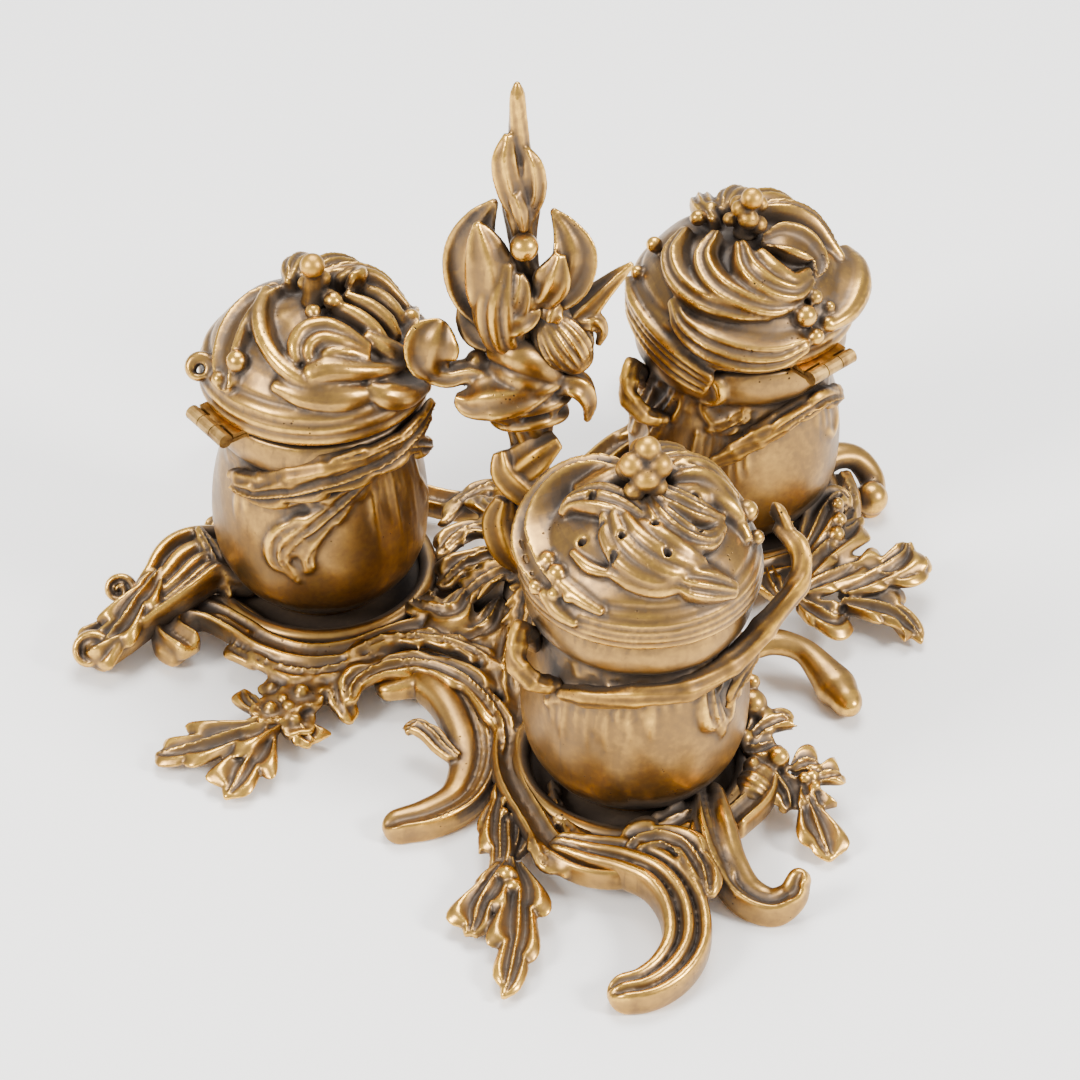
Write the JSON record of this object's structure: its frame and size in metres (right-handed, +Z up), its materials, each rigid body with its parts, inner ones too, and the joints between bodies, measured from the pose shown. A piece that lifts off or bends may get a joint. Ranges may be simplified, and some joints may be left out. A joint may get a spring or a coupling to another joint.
{
  "type": "desk inkstand",
  "caption": "Gilt bronze desk inkstand in the rococo manner: a lobed stand on scroll feet with hinged-lid inkwells, a pounce pot with a pierced cover, and a flowering stem.",
  "frame": {"origin": "middle of the part's footprint, on the table that it stands on", "axes": "+Z up, +X to the right and -Y towards the writer, with the pounce pot in front and the inkwells behind it at the left and right"},
  "size_m": [0.2574, 0.2632, 0.188],
  "materials": {
    "gilt_bronze": "old fire gilding on cast bronze, satin, worn and toned grey-brown in the hollows",
    "dark_gilt_bronze": "the same gilding, duller and more toned",
    "fastener_brass": "plain turned brass",
    "liner_glass": "clear pressed glass, slightly green"
  },
  "bodies": {
    "stand": {"stand": "gilt_bronze", "foot_left_scroll": "gilt_bronze", "foot_front_scroll": "gilt_bronze", "foot_front_right_scroll": "gilt_bronze", "foot_right_knob": "gilt_bronze", "foot_back_right_scroll": "gilt_bronze", "foot_back_scroll": "gilt_bronze", "foot_back_left_scroll": "gilt_bronze", "foot_left_shell": "gilt_bronze", "spray_left": "gilt_bronze", "spray_front_left": "gilt_bronze", "spray_front_right": "gilt_bronze", "spray_right": "gilt_bronze", "inkwell_left_body": "gilt_bronze", "inkwell_left_screw": "fastener_brass", "inkwell_left_twig": "dark_gilt_bronze", "inkwell_left_liner": "liner_glass", "inkwell_left_hinge_pot_leaf": "fastener_brass", "inkwell_left_hinge_pin": "fastener_brass", "inkwell_right_body": "gilt_bronze", "inkwell_right_screw": "fastener_brass", "inkwell_right_twig": "dark_gilt_bronze", "inkwell_right_loop": "dark_gilt_bronze", "inkwell_right_liner": "liner_glass", "inkwell_right_hinge_pot_leaf": "fastener_brass", "inkwell_right_hinge_pin": "fastener_brass", "pounce_pot_body": "gilt_bronze", "pounce_pot_screw": "fastener_brass", "pounce_pot_twig": "dark_gilt_bronze", "pounce_pot_loop": "dark_gilt_bronze", "stem_shaft": "dark_gilt_bronze", "stem_collar": "gilt_bronze", "stem_neck": "gilt_bronze", "stem_left_tulip": "gilt_bronze", "stem_right_blossom": "gilt_bronze", "stem_top_bud": "gilt_bronze", "stem_rod": "fastener_brass", "stem_nut": "fastener_brass"},
    "left_lid": {"inkwell_left_lid": "gilt_bronze", "inkwell_left_finial": "dark_gilt_bronze", "inkwell_left_hinge_lid_leaf": "fastener_brass"},
    "right_lid": {"inkwell_right_lid": "gilt_bronze", "inkwell_right_finial": "dark_gilt_bronze", "inkwell_right_hinge_lid_leaf": "fastener_brass"},
    "pounce_cover": {"pounce_pot_cover": "gilt_bronze", "pounce_pot_finial": "dark_gilt_bronze"}
  },
  "joints": [
    {"name": "left_lid_hinge", "type": "hinge", "parent": "stand", "child": "left_lid", "pos_m": [-0.08233, 0.04551, 0.07935], "axis": [0.3584, -0.9336, 0], "range_deg": [0, 100]},
    {"name": "right_lid_hinge", "type": "hinge", "parent": "stand", "child": "right_lid", "pos_m": [0.09482, 0.02579, 0.07935], "axis": [0.8988, 0.4384, 0], "range_deg": [0, 100]},
    {"name": "pounce_cover_lift", "type": "slide", "parent": "stand", "child": "pounce_cover", "axis": [0, 0, 1], "range_m": [0, 0.06]}
  ]
}
